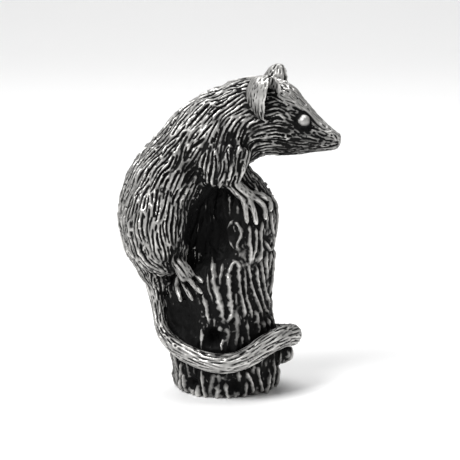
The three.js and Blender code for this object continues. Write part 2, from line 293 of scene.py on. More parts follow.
def on_stump(angle, height, lift=0.0):
    """A point on the bark: degrees round from +X, height, and how far it is raised."""
    middle, half_width, half_depth = stump_at(height)
    turn = math.radians(angle)
    return (middle + math.cos(turn) * (half_width + lift), math.sin(turn) * (half_depth + lift), height)


stump_skin = [
    (middle, 0, height, depth * STUMP_RADIUS - VALLEY, width * STUMP_RADIUS - VALLEY)
    for height, middle, width, depth in STUMP_ROWS
]
add_form(stump_skin, BARK, cap=0.035, around=96, rings=96, backwards=True, level=True)
add_form(BURL, BARK, cap=0.2)
print("with the stump:", len(wax.verts), "points")

# %% [markdown]
# ## Fingers, toes and tail
# They are thin rolls laid on the bark. Fingers and toes are given as they are seen from the side, and the stump
# says how far out each stop lies, so they sit on it whatever its outline is. The tail is given as angles and
# heights: it leaves the rump, drops behind the foot and winds round the stump.

# %% Fingers and toes
FINGER_RADIUS = 0.5
TOE_RADIUS = 0.46
DIGIT_START = 1.15
DIGIT_TAPER = 0.12
DIGIT_LIFT = 0.55
EDGE_OF_STUMP = 0.97
# The x and height of each stop. A y is given where the digit starts off the bark.
FINGERS = [
    [(3.0, 37.0, 6.2), (3.6, 35.3), (4.05, 31.9)],
    [(4.1, 36.8, 6.2), (5.2, 34.4), (5.75, 31.6)],
    [(4.8, 37.0, 6.1), (7.0, 35.0), (7.4, 32.3)],
    [(5.0, 37.6, 5.8), (7.9, 35.8), (8.4, 33.6)],
]
TOES = [
    [(-6.9, 23.6, 7.5), (-5.2, 22.4), (-3.9, 21.4)],
    [(-7.0, 22.6, 7.5), (-5.5, 20.8), (-4.0, 19.4)],
    [(-7.9, 23.2, 7.3), (-7.4, 20.8), (-5.7, 17.9)],
    [(-8.4, 22.4, 6.9), (-8.7, 20.2), (-7.9, 17.4)],
]


def seen_on_stump(x, height, lift):
    """How far out the bark lies where it is seen at x and a height, from the side."""
    middle, half_width, half_depth = stump_at(height)
    aside = min(EDGE_OF_STUMP, abs(x - middle) / half_width)
    return half_depth * math.sqrt(1 - aside**2) + lift


for digits, radius in ((FINGERS, FINGER_RADIUS), (TOES, TOE_RADIUS)):
    for stops in digits:
        rows = []
        for k, (x, height, *y) in enumerate(stops):
            size = radius * (DIGIT_START - DIGIT_TAPER * k)
            out = y[0] if y else seen_on_stump(x, height, radius * DIGIT_LIFT)
            rows.append((x, out, height, size, size))
        both_sides(rows, SKIN, cap=0.2, around=16, rings=24)
print("with the digits:", len(wax.verts), "points")

# %% Tail
TAIL_RADIUS = 1.8
TAIL_SUNK = 0.5
TAIL_ROOT = [(-12.5, -0.3, 23.6, 3.4, 3.4), (-12.6, -0.3, 20.4, 2.4, 2.4)]
# Angle, height, thickness as a share of the radius, and how far it stands off the bark.
TAIL_WIND = [
    (180, 17.4, 1.0, 0), (184, 14.6, 0.8, 0), (196, 12.2, 0.76, 0), (211, 10.4, 0.8, 0), (231, 8.8, 0.88, 0),
    (254, 7.4, 0.94, 0), (274, 7.1, 0.98, 0), (293, 8.1, 1.0, 0), (312, 9.7, 1.04, 0.2), (333, 10.6, 1.1, 0.6),
    (352, 10.2, 1.14, 1.2), (372, 9.4, 1.04, 0.8), (394, 9.0, 0.86, 0.1), (414, 8.8, 0.6, 0),
]
tail_rows = list(TAIL_ROOT)
for angle, height, share, lift in TAIL_WIND:
    radius = TAIL_RADIUS * share
    tail_rows.append((*on_stump(angle, height, radius - TAIL_SUNK + lift), radius, radius))
add_form(tail_rows, TAIL, side=(0.3, 0.3, 1), cap=0.04, around=24, rings=200)
print("with the tail:", len(wax.verts), "points")

# %% [markdown]
# ## The head
# A dormouse has a narrow muzzle, bulging eyes and large cupped ears. The trunk's form already holds the skull, so
# the head adds only the ears, the eyeballs, the lips and the tip of the nose. The head is turned a little towards
# the camera, so the two sides differ, and most rows are given for one side alone.

# %% Ears
NEAR_EAR = [
    (7.0, -4.3, 50.4, 1.2, 1.9),
    (7.0, -5.2, 52.6, 2.1, 3.3),
    (7.2, -5.7, 54.9, 2.6, 3.7),
    (7.6, -5.9, 57.0, 2.4, 3.4),
    (8.0, -5.8, 58.6, 1.7, 2.5),
]
FAR_EAR = [
    (9.4, 2.9, 51.8, 1.2, 2.0),
    (9.4, 3.8, 54.0, 2.0, 3.2),
    (9.6, 4.4, 56.2, 2.0, 3.2),
    (10.0, 4.6, 58.3, 1.5, 2.3),
    (10.4, 4.6, 60.0, 0.8, 1.4),
]
add_form(NEAR_EAR, EAR, side=(-0.6, -0.8, 0), cap=0.2, around=48, dish=1.15, opening=56)
add_form(FAR_EAR, EAR, side=(-0.3, -0.95, 0), cap=0.2, around=48, dish=1.1, opening=50)
print("with the ears:", len(wax.verts), "points")

# %% Eyes, lips and nose
EYE_RADIUS = 1.15
EYES = {NEAR: (14.15, -5.3, 50.35), FAR: (15.6, 1.5, 49.85)}
LIP = [(15.4, 1.5, 47.0, 1.2, 1.3), (17.6, 1.3, 46.7, 1.1, 1.3), (19.6, 0.8, 46.6, 0.8, 1.1),
       (20.9, 0.4, 46.7, 0.6, 0.9)]
NOSE = [(19.6, -3.0, 47.0, 1.0, 1.0), (20.3, -3.1, 46.9, 1.1, 1.1), (20.9, -3.2, 46.7, 1.0, 1.0)]
head_rows = TRUNK[8:]


def head_middle(x):
    """How far aside the middle of the turned head lies."""
    return float(np.interp(x, [row[0] for row in head_rows], [row[1] for row in head_rows]))


for side in (NEAR, FAR):
    x, y, z = EYES[side]
    ball_rows = [(x, y, z + rise, EYE_RADIUS, EYE_RADIUS) for rise in (-EYE_RADIUS, EYE_RADIUS)]
    add_form(ball_rows, EYE, cap=0.5)
    lip_rows = [(x, head_middle(x) + side * y, z, width, depth) for x, y, z, width, depth in LIP]
    add_form(lip_rows, FACE, backwards=True)
add_form(NOSE, FACE, cap=0.35)
print("with the head:", len(wax.verts), "points")

# %% [markdown]
# ## One skin
# A casting has no seams between its forms. Boolean joins would work, but so many overlapping forms are joined more
# surely by a voxel remesh: it lays an even grid of small faces over everything at once. Each point then looks up
# the form under it for the run of its fur, and a little smoothing softens the joins as a wax tool does.

# %% Remesh
VOXEL = 0.17
wax_mesh = bpy.data.meshes.new("wax")
wax.to_mesh(wax_mesh)
form_flow = np.array([v[wax_flow] for v in wax.verts])
form_kind = np.array([v[wax_kind] for v in wax.verts]).astype(int)
form_tree = KDTree(len(wax.verts))
for v in wax.verts:
    form_tree.insert(v.co, v.index)
form_tree.balance()
wax.free()

casting = bpy.data.objects.new("dormouse_casting", wax_mesh)
bpy.context.scene.collection.objects.link(casting)
remesh = casting.modifiers.new("one_skin", "REMESH")
remesh.mode = "VOXEL"
remesh.voxel_size = VOXEL
skin_mesh = bpy.data.meshes.new_from_object(casting.evaluated_get(bpy.context.evaluated_depsgraph_get()))
casting.modifiers.clear()
casting.data = skin_mesh
print("skin:", len(skin_mesh.vertices), "points", len(skin_mesh.polygons), "faces")

# %% Points, edges and normals as arrays
def as_array(collection, name, width, dtype=np.float32):
    """One property of every element as an array."""
    values = np.empty(len(collection) * width, dtype)
    collection.foreach_get(name, values)
    return values.reshape(-1, width)


def normals_of(places):
    """The normals of the skin once its points are at the places."""
    skin_mesh.vertices.foreach_set("co", places.astype(np.float32).ravel())
    skin_mesh.update()
    return as_array(skin_mesh.vertex_normals, "vector", 3).astype(float)


points = as_array(skin_mesh.vertices, "co", 3).astype(float)
edges = as_array(skin_mesh.edges, "vertices", 2, np.int32)
faces = [tuple(face.vertices) for face in skin_mesh.polygons]
count = len(points)
degree = np.bincount(edges.ravel(), minlength=count)
print("edges at a point, on average:", round(float(degree.mean()), 2))

# %% Look up the kinds and soften the joins
SOFTENED = 6
SOFTENED_FINE_PARTS = 0.5
FACE_FROM_X = 9.5
FACE_ABOVE = 42


def soften(values, times, share=0.5):
    """Moves every value towards the mean of its neighbours."""
    one, other = edges.T
    for _ in range(times):
        sums = [
            np.bincount(one, values[other, k], count) + np.bincount(other, values[one, k], count)
            for k in range(values.shape[1])
        ]
        values = values + share * (np.stack(sums, 1) / degree[:, None] - values)
    return values


nearest_form = np.array([form_tree.find(co)[1] for co in points.tolist()])
kind = form_kind[nearest_form]
kind[(kind == FUR) & (points[:, 0] > FACE_FROM_X) & (points[:, 2] > FACE_ABOVE)] = FACE
broad = np.isin(kind, (FUR, BARK))[:, None]
points = points + (soften(points, SOFTENED) - points) * np.where(broad, 1.0, SOFTENED_FINE_PARTS)
points[:, 2] = np.maximum(points[:, 2], 0)
normals = normals_of(points)
print("points of each kind", np.bincount(kind, minlength=KINDS))

# %% [markdown]
# ## Dents
# The stump has rotten hollows, and the fur has shallow valleys behind the arm. Both are pressed in as round dents
# with soft edges, as a thumb would do in wax. The same soft round share also marks the places that are made darker,
# such as the dark gap between the arm and the haunch: partly stain that the buff doesn't reach, partly painted
# shade. There only the colour changes, later on.

# %% Press the hollows and valleys
# Angle, height, reach and depth.
STUMP_HOLLOWS = [
    (-136, 14.5, 6.2, 1.9), (-97, 11.4, 2.4, 3.0), (-128, 2.2, 1.8, 1.7), (-80, 2.4, 1.7, 1.1),
    (-142, 28, 5.0, 1.4), (60, 20, 3.4, 1.4),
]
FUR_DENTS_FROM_X = -7
# Place on the near side, reach and depth.
FUR_VALLEYS = [((-6.9, 6.5, 43.2), 3.0, 0.8), ((-5.6, 6.5, 40.4), 3.0, 1.0), ((-4.6, 7.5, 47.5), 2.6, 0.4)]


def round_share(centre, reach):
    """A soft round spot: 1 in its centre, 0 from its reach on."""
    away = np.linalg.norm(points - centre, axis=1) / reach
    return (1 - np.minimum(away, 1) ** 2) ** 2


hollow = np.zeros(count)
for angle, height, reach, depth in STUMP_HOLLOWS:
    takes_dents = (kind == BARK) | (kind == FUR) & (points[:, 0] > FUR_DENTS_FROM_X)
    share = round_share(on_stump(angle, height), reach) * takes_dents
    points = points - normals * (depth * share)[:, None]
    hollow = np.maximum(hollow, share)
for (x, y, z), reach, depth in FUR_VALLEYS:
    for side in (NEAR, FAR):
        pressed = depth * round_share((x, side * y, z), reach) * (kind == FUR)
        points = points - normals * pressed[:, None]
print("points in hollows", int((hollow > 0).sum()))

# %% Places darkened by stain and painted shade
# Place on the near side, reach, and how much darker it is made, partly stain that stays and partly painted shade.
DULL_AND_SHADED_PLACES = [
    ((-3.2, 3.6, 35.3), 5.6, 0.9), ((-5.0, 4.0, 30.0), 5.2, 0.9), ((-6.9, 6.5, 43.2), 3.5, 0.2),
    ((-5.6, 6.5, 40.4), 3.5, 0.25), ((0.0, 7.5, 44.0), 6.0, 0.3), ((3.0, 7.0, 48.0), 5.0, 0.25),
    ((11.5, 4.5, 48.0), 4.5, 0.25), ((-9.0, 8.0, 28.0), 4.0, 0.2), ((-7.5, 7.5, 21.5), 5.5, 0.38),
]
dull_and_shaded = np.zeros(count)
for (x, y, z), reach, share in DULL_AND_SHADED_PLACES:
    for side in (NEAR, FAR):
        dull_and_shaded = np.maximum(dull_and_shaded, share * round_share((x, side * y, z), reach))
print("points in dull places", int((dull_and_shaded > 0).sum()))

# %% [markdown]
# ## Eyes
# Each eye is a ball in a socket. The remesh left the ball slightly stepped, so the points that came from it are
# put back on it exactly, and the skin round it is pressed into a shallow ring.

# %% Set the eyes
BALL_REACH = 1.3
LID_GAP = 0.15
SOCKET_REACH = 1.1
SOCKET_DEPTH = 0.24
for side, centre in EYES.items():
    away = points - centre
    distance = np.linalg.norm(away, axis=1)
    on_ball = (kind == EYE) & (distance < EYE_RADIUS * BALL_REACH)
    points[on_ball] = centre + away[on_ball] / distance[on_ball, None] * EYE_RADIUS
    past = (distance - EYE_RADIUS - LID_GAP) / SOCKET_REACH
    ring = (kind == FACE) & (np.abs(past) < 1)
    points[ring] -= normals[ring] * (SOCKET_DEPTH * (1 - past[ring] ** 2) ** 2)[:, None]
    print("eye", side, "points on the ball", int(on_ball.sum()), "in the socket", int(ring.sum()))
normals = normals_of(points)

# %% [markdown]
# ## Which way the fur lies
# The runs of the forms meet at their joins, so they are blended there, laid flat on the skin, and turned a little
# downwards on the flanks, where long fur hangs. Slow noise then waves the fur and, less, the grain of the bark,
# because strokes that are quite parallel look machined.

# %% Flow of the fur and the grain
HANG = 0.55
BLENDED = 12
WAVES = 0.5
WAVES_IN_BARK = 0.4
WAVE_PACE = 0.3


def noise_on_skin(pace):
    """Soft noise between about -1 and 1 at every point. A higher pace makes it finer."""
    return np.array([noise.noise(Vector(co) * pace) for co in points.tolist()])


flow = form_flow[nearest_form].astype(float)
flank = np.clip(1 - normals[:, 2], 0, 1) * (kind == FUR)
flow[:, 2] -= HANG * flank
flow[kind == BARK] = (0, 0, -1)
flow = soften(flow, BLENDED)
flow = unit(flow - normals * np.sum(flow * normals, 1)[:, None])
wave = WAVES * noise_on_skin(WAVE_PACE)[:, None]
wave = wave * np.isin(kind, (FUR, BARK))[:, None] * np.where(kind == BARK, WAVES_IN_BARK, 1.0)[:, None]
flow = flow * np.cos(wave) + np.cross(normals, flow) * np.sin(wave)
surface = BVHTree.FromPolygons(points.tolist(), faces)
print("flow waves by up to", round(math.degrees(float(np.abs(wave).max()))), "degrees")

# %% [markdown]
# ## Tooled strokes
# Every hair is a stroke of the maker's tool: a groove with a small burr thrown up beside it, that starts deep and
# runs out thin. The ridges of the bark and the tufts of the fur are strokes too, of wax laid on. A stroke starts at
# a free place, follows the flow both ways, sways a little, and stops where it would run into an older one. That is
# how even but unruly lines come about. A texture could fake them, but grooves in the mesh catch the light truly.

# %% Keep strokes where near ones are found quickly
BOX = 1.2


class Strokes:
    """Strokes as straight segments, kept in a grid of boxes."""

    def __init__(self):
        self.boxes = {}
        self.segments = []

    def box(self, p):
        """The box of the grid that a point lies in."""
        return tuple(int(math.floor(v / BOX)) for v in p)

    def room(self, p, distance, own=-1):
        """Whether no other stroke lies within the distance."""
        bx, by, bz = self.box(p)
        for i in (bx - 1, bx, bx + 1):
            for j in (by - 1, by, by + 1):
                for k in (bz - 1, bz, bz + 1):
                    for q, name in self.boxes.get((i, j, k), ()):
                        if name != own and (q - p).length < distance:
                            return False
        return True

    def keep(self, path, name, width, height, taper):
        """Keeps a stroke. Its strength at each share of its length is what taper says."""
        for p in path:
            self.boxes.setdefault(self.box(p), []).append((p, name))
        last = len(path) - 1
        strengths = [taper(k / last) for k in range(len(path))]
        for k in range(last):
            self.segments.append((*path[k], *path[k + 1], width, height * strengths[k], height * strengths[k + 1]))


# %% Follow the flow
STEP = 0.28
FULL_TURN = 6.28
SWING = 0.6
SWING_PACE = 0.35


def follow(start, heading, length, sway, free):
    """A path along the flow from a start, one way or the other, until it is long enough or meets another."""
    path = []
    p = Vector(start)
    phase = random.uniform(0, FULL_TURN)
    lean = random.uniform(-sway, sway)
    for step in range(int(length / STEP)):
        place, normal, face, _ = surface.find_nearest(p)
        at = faces[face][0]
        run = Vector(flow[at]) * heading
        swing = sway * SWING * math.sin(step * SWING_PACE + phase)
        run.rotate(Matrix.Rotation(lean + swing, 3, normal))
        if path and not free(place, at):
            break
        path.append(place)
        p = place + run * STEP
    return path


# %% Tool one style of stroke
# Shares of the pitch: how close strokes may come.
CROWDING, ROOM_TO_START, ROOM_BESIDE = (0.8, 1.15), 0.85, 0.42
# Shares of the height and the width of a style, least and most.
DEPTHS, WIDTHS = (0.45, 1.4), (0.6, 1.6)
# Shares of the length: what lies before the start, the entry, and the run-out that ends just past the stroke.
SHARE_BEFORE, ENTRY, RUN_OUTS, PAST_END = (0.2, 0.5), 0.12, (0.25, 0.6), 1.02
ENTRY_STRENGTH = 0.25
SHORTEST_KEPT = 0.5


def tool(strokes, starts, style, fits):
    """Strokes of one style, begun at the given points where they fit."""
    _, pitch, shortest, longest, width, height, sway = style
    made = 0
    for at in starts:
        name = (pitch, at)
        start = Vector(points[at])
        crowd = pitch * random.uniform(*CROWDING)
        if not fits(at) or not strokes.room(start, crowd * ROOM_TO_START):
            continue

        def free(place, near_point):
            return fits(near_point) and strokes.room(place, pitch * ROOM_BESIDE, name)

        length = random.uniform(shortest, longest)
        before = random.uniform(*SHARE_BEFORE)
        path = follow(start, -1, length * before, sway, free)[::-1]
        path += follow(start, 1, length * (1 - before), sway, free)[1:]
        if len(path) * STEP < shortest * SHORTEST_KEPT or len(path) < 3:
            continue
        deep = random.uniform(*DEPTHS)
        run_out = random.uniform(*RUN_OUTS)

        def taper(share):
            return min(1.0, ENTRY_STRENGTH + share / ENTRY, (PAST_END - share) / run_out)

        strokes.keep(path, name, width * random.uniform(*WIDTHS), height * deep, taper)
        made += 1
    return made


# %% [markdown]
# ## Lines drawn on purpose
# Some lines aren't chance: the large ridges of the bark below the hand and the foot, the mouth, the nostril, the
# edge of the forehead and the folds behind the eye. They are given as they are seen from the side, in x and height,
# and a ray from that side finds where each lies on the skin. Chance strokes then keep clear of them.

# %% Ridges and folds
# Half width, height (below zero cuts), then x and height of each stop.
NEAR_BARK_LINES = [
    (0.6, 0.79, [(1.8, 32.7), (1.1, 31.4), (1.2, 29.8), (1.4, 28.6), (1.9, 27.2)]),
    (0.53, 0.73, [(1.9, 32.3), (2.6, 31.6), (3.1, 30.1), (2.5, 28.5), (2.3, 27.2)]),
    (0.6, 0.73, [(0.6, 23.0), (1.1, 24.1), (1.5, 24.8), (2.2, 25.0), (2.6, 24.0)]),
    (0.75, 0.85, [(0.6, 23.2), (0.7, 21.0), (0.9, 18.8), (1.1, 16.1), (0.5, 14.2)]),
    (0.54, 0.73, [(2.5, 24.2), (2.5, 21.9), (2.7, 19.6), (3.3, 17.0), (3.6, 15.2)]),
    (0.83, 0.9, [(-2.4, 27.3), (-2.0, 25.3), (-2.0, 22.6), (-1.4, 19.3), (-0.7, 16.9), (-0.2, 14.1)]),
    (0.75, 0.8, [(-0.6, 27.2), (-0.6, 25.8), (-0.7, 24.2)]),
    (0.49, 0.63, [(4.5, 31.5), (4.5, 29.0), (4.7, 26.9), (4.5, 24.6)]),
    (0.49, 0.63, [(5.6, 31.3), (5.6, 28.9), (5.4, 27.1), (4.7, 25.0)]),
    (0.49, 0.63, [(6.7, 32.2), (6.3, 29.6), (6.5, 26.9), (6.0, 24.8)]),
    (0.49, 0.68, [(7.1, 28.7), (7.6, 27.4), (7.9, 26.5)]),
    (0.49, 0.68, [(8.8, 29.1), (8.6, 27.5), (7.9, 26.5)]),
    (0.46, 0.58, [(8.1, 33.8), (8.4, 31.3), (8.7, 29.3)]),
    (0.49, 0.63, [(7.5, 26.6), (7.3, 24.5), (7.5, 21.0)]),
    (0.49, 0.63, [(4.3, 24.4), (4.7, 20.7), (5.6, 17.8), (6.8, 14.2)]),
    (0.49, 0.63, [(5.6, 24.2), (5.8, 21.5), (6.6, 17.5), (7.9, 14.1)]),
    (0.49, 0.63, [(6.5, 24.8), (6.8, 21.3), (7.5, 17.9), (8.5, 13.9)]),
    (0.49, 0.63, [(3.6, 23.6), (3.6, 20.0), (4.2, 17.2), (4.9, 14.5)]),
    (0.6, 0.73, [(-4.0, 19.3), (-3.3, 17.3), (-2.8, 14.1)]),
    (0.49, 0.63, [(-7.9, 6.0), (-7.9, 3.4), (-8.2, 0.6)]),
    (0.49, 0.63, [(-6.2, 6.7), (-6.2, 4.0), (-5.5, 3.4), (-4.7, 3.8)]),
    (0.53, 0.68, [(-4.3, 6.7), (-4.2, 3.4), (-4.2, 0.6)]),
    (0.49, 0.63, [(-3.4, 6.4), (-3.3, 3.4), (-2.5, 3.1), (-2.3, 6.0)]),
    (0.53, 0.63, [(-1.3, 5.6), (0.2, 3.1), (1.5, 1.7), (2.4, 3.5), (2.3, 5.9)]),
    (0.53, 0.68, [(3.6, 5.3), (4.6, 3.3), (5.1, 0.8)]),
    (0.53, 0.68, [(5.8, 5.7), (6.2, 3.0), (6.8, 0.6)]),
    (0.42, 0.5, [(-6.0, 18.6), (-5.1, 16.4), (-4.5, 14.2)]),
]
FACE_LINES = [
    (0.26, -0.34, [(20.6, 46.1), (19.5, 45.8), (18.4, 45.5), (17.2, 45.4), (15.3, 45.2)]),
    (0.3, -0.4, [(19.7, 47.9), (20.1, 47.6), (20.3, 47.0)]),
    (0.55, -0.3, [(12.2, 53.0), (13.5, 52.4), (14.9, 51.5), (16.2, 50.3), (17.5, 49.2), (18.8, 48.6)]),
    (0.22, -0.2, [(8.1, 49.8), (9.8, 49.9), (12.2, 49.7)]),
    (0.24, -0.22, [(7.7, 51.2), (9.5, 51.9), (11.7, 52.3), (12.9, 52.1)]),
]
print("lines in bark", len(NEAR_BARK_LINES), "on the face", len(FACE_LINES))

# %% Lay the lines on the skin
OUTSIDE = 40
LONGEST_JUMP = 3 * STEP
END_STRENGTH = 0.3
END = 0.15


def lay_line(line, side):
    """A line given as x and height, laid on the skin by looking at it from one side."""
    path = []
    length = sum(math.dist(a, b) for a, b in zip(line, line[1:]))
    for x, height in between_rows(line, np.linspace(0, 1, max(4, int(length / STEP)))):
        place = surface.ray_cast(Vector((x, side * OUTSIDE, height)), Vector((0, -side, 0)))[0]
        if place is not None and (not path or (place - path[-1]).length < LONGEST_JUMP):
            path.append(place)
    return path


def both_ends(share):
    """A line that starts and ends thin."""
    return min(1.0, END_STRENGTH + share / END, END_STRENGTH + (1 - share) / END)


drawn = {}
for lines, layer, sides in ((NEAR_BARK_LINES, (BARK, True), (NEAR,)), (FACE_LINES, (FACE, False), (NEAR, FAR))):
    strokes = drawn.setdefault(layer, Strokes())
    for number, (width, height, line) in enumerate(lines):
        for side in sides:
            path = lay_line(line, side)
            if len(path) > 2:
                strokes.keep(path, ("drawn", side, number), width, height, both_ends)
    print("drawn lines of kind", layer[0], len(lines), "segments", len(strokes.segments))

# %% [markdown]
# ## Chance strokes
# Each kind of surface gets its own styles, coarse ones first, so that finer ones fill what is left between them.
# Cuts and ridges of one surface are kept in sets of their own, because a cut may cross a ridge. Deep strokes leave
# out the hollows and a bare knot between two ridges.

# %% Draw the strokes
# Kind, pitch, shortest and longest, half width, height (below zero cuts), sway.
STYLES = [
    (FUR, 2.0, 3.0, 6.5, 0.8, 0.34, 0.22),
    (FUR, 1.0, 5.0, 10.0, 0.28, -0.42, 0.1),
    (FUR, 0.72, 2.5, 6.0, 0.23, -0.32, 0.15),
    (FUR, 0.5, 1.2, 3.0, 0.15, -0.18, 0.2),
    (FACE, 0.55, 1.5, 4.0, 0.2, -0.26, 0.25),
    (FACE, 0.42, 0.6, 1.4, 0.15, -0.16, 0.3),
    (BARK, 1.7, 8.0, 20.0, 0.62, 0.62, 0.18),
    (BARK, 1.3, 3.0, 9.0, 0.5, 0.4, 0.25),
    (BARK, 0.62, 0.8, 2.5, 0.28, 0.19, 0.5),
    (TAIL, 0.62, 2.0, 9.0, 0.22, -0.3, 0.12),
    (SKIN, 0.5, 0.8, 2.6, 0.15, -0.14, 0.15),
    (EAR, 0.6, 1.2, 4.0, 0.2, -0.2, 0.2),
]
MOST_STARTS = 9000
SMOOTH_FROM = 0.12
SHALLOW = 0.2
KNOT_X, KNOT_HEIGHT, KNOT_REACH = 2.6, 26.0, 1.3

knot = (KNOT_X, -seen_on_stump(KNOT_X, KNOT_HEIGHT, -VALLEY), KNOT_HEIGHT)
in_knot = np.linalg.norm(points - knot, axis=1) / KNOT_REACH < 1
smooth_place = np.maximum(hollow, in_knot)
for style in STYLES:
    of_kind, height = style[0], style[5]
    strokes = drawn.setdefault((of_kind, height > 0), Strokes())
    starts = rng.permutation(np.flatnonzero(kind == of_kind))[:MOST_STARTS].tolist()
    made = tool(strokes, starts, style, lambda at: smooth_place[at] < SMOOTH_FROM or abs(height) < SHALLOW)
    print("strokes of kind", of_kind, made, "segments", len(strokes.segments))
segments = np.array([(*segment, layer[0]) for layer, strokes in drawn.items() for segment in strokes.segments])

# %% [markdown]
# ## Press the strokes into the skin
# Every segment moves the points near it: a rounded groove with a burr along one side, or a rounded ridge. Only the
# deepest cut and the highest ridge count at a point, so crossings don't add up. Noise makes the edges ragged, most
# of all in bark. Ridges of bark stop at the edge of the bark, so that they don't lift the toes that lie on them.

# %% Relief of the strokes
BURR = 0.3
BURR_FROM, BURR_TO, BURR_WIDTH = 0.8, 2.4, 1.6
RAGGED = {FUR: 0.5, FACE: 0.3, BARK: 0.9, TAIL: 0.3, SKIN: 0.2, EAR: 0.2, EYE: 0.0}
RAGGED_PACE = 1.4


def by_kind(values):
    """Gives each point the value of its kind."""
    return np.array([values[k] for k in range(KINDS)])[kind]


skin_tree = KDTree(count)
for index, co in enumerate(points.tolist()):
    skin_tree.insert(co, index)
skin_tree.balance()
ragged = 1 + noise_on_skin(RAGGED_PACE) * by_kind(RAGGED)
cut = np.zeros(count)
raised = np.zeros(count)
for x0, y0, z0, x1, y1, z1, width, first, last, in_kind in segments:
    start, run = np.array((x0, y0, z0)), np.array((x1 - x0, y1 - y0, z1 - z0))
    length = float(np.linalg.norm(run))
    cuts = first < 0 or last < 0
    reach = width * (BURR_TO if cuts else 1.0)
    near = np.array([found[1] for found in skin_tree.find_range(start + run / 2, reach + length / 2)], int)
    if in_kind == BARK:
        near = near[kind[near] == BARK]
    if not len(near) or length < 1e-6:
        continue
    away = points[near] - start
    t = np.clip(away @ run / length**2, 0, 1)
    off = np.linalg.norm(away - t[:, None] * run, axis=1) / width / ragged[near]
    height = first + (last - first) * t
    bump = (1 - np.minimum(off, 1) ** 2) ** 2 * height
    if cuts:
        cut[near] = np.minimum(cut[near], bump)
        one_side = np.sum(away * np.cross(run, normals[near]), 1) > 0
        in_burr = one_side & (off > BURR_FROM) & (off < BURR_TO)
        round_burr = np.sin(np.pi * (off - BURR_FROM) / BURR_WIDTH) ** 2
        bump = np.where(in_burr, round_burr, 0) * -height * BURR
    raised[near] = np.maximum(raised[near], bump)
print("deepest cut", round(float(cut.min()), 2), "highest ridge", round(float(raised.max()), 2), "mm")

# %% Move the points
UNCUT = -0.05
EDGES_SOFTENED = 0.35
LUMPS = {FUR: 0.08, FACE: 0.03, BARK: 0.2, TAIL: 0.04, SKIN: 0.03, EAR: 0.03, EYE: 0.0}
LUMP_PACE = 0.8
FINE_LUMP_PACE = 2.4
FINE_LUMPS = 0.6
lumps = noise_on_skin(LUMP_PACE) + FINE_LUMPS * noise_on_skin(FINE_LUMP_PACE)
relief = cut + raised * (cut > UNCUT)
relief += lumps * by_kind(LUMPS)
points = points + normals * relief[:, None]
points[:, 2] = np.maximum(points[:, 2], 0)
points = soften(points, 1, EDGES_SOFTENED)
normals = normals_of(points)
print("relief from", round(float(relief.min()), 2), "to", round(float(relief.max()), 2), "mm")

# %% [markdown]
# ## Where the stain stays
# The casting is dipped in black stain and then buffed. The stain stays where the buff can't reach: in the grooves,
# and in the deep hollows between the forms. Two measures find them: how far a point lies below the skin around it,
# and how much of the sky above it is hidden. A baked occlusion map would do, but a value at each point is quicker
# and stays with the mesh.

# %% Grooves
FINE_TIMES, FINE_WEIGHT = 8, 6
BROAD_TIMES, BROAD_WEIGHT = 40, 2.3
SHARE_EACH_TIME = 0.7


def below(times):
    """How far each point lies below its softened surroundings, in millimetres."""
    return np.sum((soften(points, times, SHARE_EACH_TIME) - points) * normals, 1)


groove = below(FINE_TIMES) * FINE_WEIGHT + below(BROAD_TIMES) * BROAD_WEIGHT
print("groove", np.percentile(groove, [5, 50, 95]).round(2))

# %% Recesses
RAYS = 26
SKY_RIM = 0.92
SKY_REACH = 16.0
SKY_LIFT = 0.35
LOOKED_FROM = 9000
SPREAD = 1.4
SPREAD_SOFTNESS = 0.35
surface = BVHTree.FromPolygons(points.tolist(), faces)
rise = 1 - (np.arange(RAYS) + 0.5) / RAYS * SKY_RIM
turn = np.arange(RAYS) * math.pi * (3 - math.sqrt(5))
dome = np.stack([np.cos(turn) * np.sqrt(1 - rise**2), np.sin(turn) * np.sqrt(1 - rise**2), rise], 1)
sky = list(zip(dome.tolist(), rise.tolist()))
whole_sky = float(rise.sum())
hidden_sum = np.zeros(count)
hidden_weight = np.zeros(count)
for at in rng.permutation(count)[:LOOKED_FROM].tolist():
    normal = Vector(normals[at])
    upright = normal.to_track_quat("Z", "Y").to_matrix()
    origin = Vector(points[at]) + normal * SKY_LIFT
    hidden = sum(
        share for ray, share in sky
        if surface.ray_cast(origin, upright @ Vector(ray), SKY_REACH)[0] is not None
    )
    near = np.array([found[1] for found in skin_tree.find_range(origin, SPREAD)], int)
    if len(near):
        weight = np.exp(-np.sum((points[near] - points[at]) ** 2, 1) / SPREAD_SOFTNESS)
        hidden_sum[near] += hidden / whole_sky * weight
        hidden_weight[near] += weight
recess = soften((hidden_sum / np.maximum(hidden_weight, 1e-6))[:, None], 6)[:, 0]
print("recess", np.percentile(recess, [5, 50, 95]).round(2))

# %% [markdown]
# ## How dark each place is
# Each kind of surface starts with its own tendency to stay dark: the face and the fur are the darkest, the hands
# the brightest. The buff clears the forehead down to the eye, and a painted highlight of the light from above
# brightens it further. Each eyeball gets a painted highlight on its upper front and painted shade towards its rim.
# The buff clears the ridges of the bark and leaves a dark ring round the eye. Grooves, recesses, hollows and the
# places darkened by stain and painted shade then add their share.

# %% Tendency of each kind, forehead, and painted light on the eyes
TENDENCY = {FUR: 0.86, FACE: 1.02, BARK: 0.72, TAIL: 0.68, SKIN: 0.54, EAR: 0.58, EYE: 0.85}
# The lower edge of the bright forehead, as x and height, and how softly it ends.
FOREHEAD_EDGE = np.array([
    (6.0, 55.0), (12.2, 53.0), (13.5, 52.4), (14.9, 51.5), (16.2, 50.1), (17.5, 48.4), (18.8, 47.2), (20.0, 46.7),
    (21.5, 46.2),
])
FOREHEAD_SOFTNESS = 0.8
EYE_RING, EYE_RING_INNER, EYE_RING_SIZE = 0.12, 1.5, 2.2
